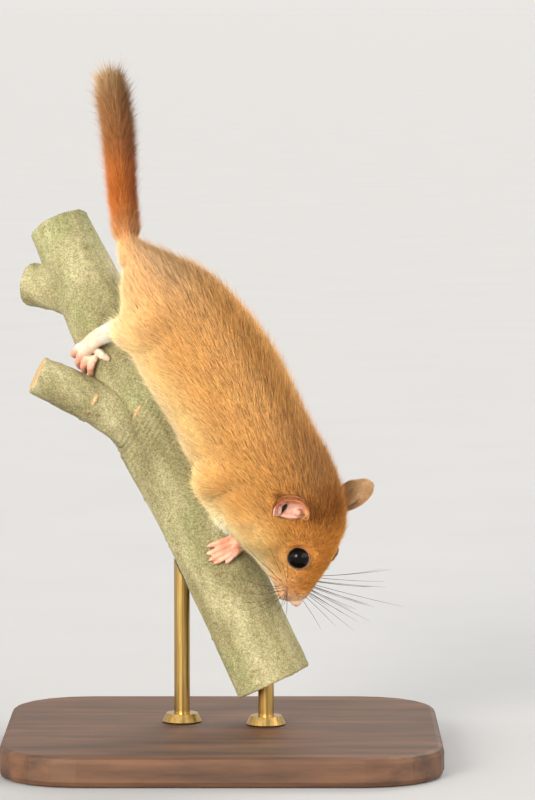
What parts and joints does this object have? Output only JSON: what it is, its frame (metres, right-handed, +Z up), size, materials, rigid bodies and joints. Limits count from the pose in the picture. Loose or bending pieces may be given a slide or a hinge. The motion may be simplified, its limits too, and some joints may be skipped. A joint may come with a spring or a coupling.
{
  "type": "hazel dormouse model",
  "caption": "Life-size still model of a hazel dormouse climbing head down on a cut length of branch, held by a small display stand.",
  "frame": {"origin": "middle of the underside of the stand's base", "axes": "+Z up; +X to the right and -Y toward the viewer of the picture, so that the animal's right side faces -Y and its head points down"},
  "size_m": [0.088, 0.08, 0.1392],
  "materials": {
    "coat": "short dense golden orange fur, browner along the back and cream on the throat and belly",
    "tail_coat": "bushy orange brown fur",
    "ear_skin": "thin pink skin with fine orange down outside",
    "eye": "glossy black",
    "foot_skin": "salmon pink bare skin",
    "bark": "smooth greenish grey bark with fine speckles and leaf scars",
    "stand_wood": "dark satin wood",
    "rod_brass": "satin brass"
  },
  "bodies": {
    "root": {"head": "coat", "neck": "coat", "torso": "coat", "rump": "coat", "foreleg_right": "coat", "foreleg_left": "coat", "hindleg_right": "coat", "hindleg_left": "coat", "tail_base": "tail_coat", "tail_tip": "tail_coat", "ear_right": "ear_skin", "ear_left": "ear_skin", "eye_right": "eye", "eye_left": "eye", "forefoot_right": "foot_skin", "forefoot_left": "foot_skin", "hindfoot_right": "foot_skin", "hindfoot_left": "foot_skin", "perch_branch": "bark", "perch_stub": "bark", "perch_twig": "bark", "stand_base": "stand_wood", "stand_rod_low": "rod_brass", "stand_rod_high": "rod_brass"}
  },
  "joints": []
}
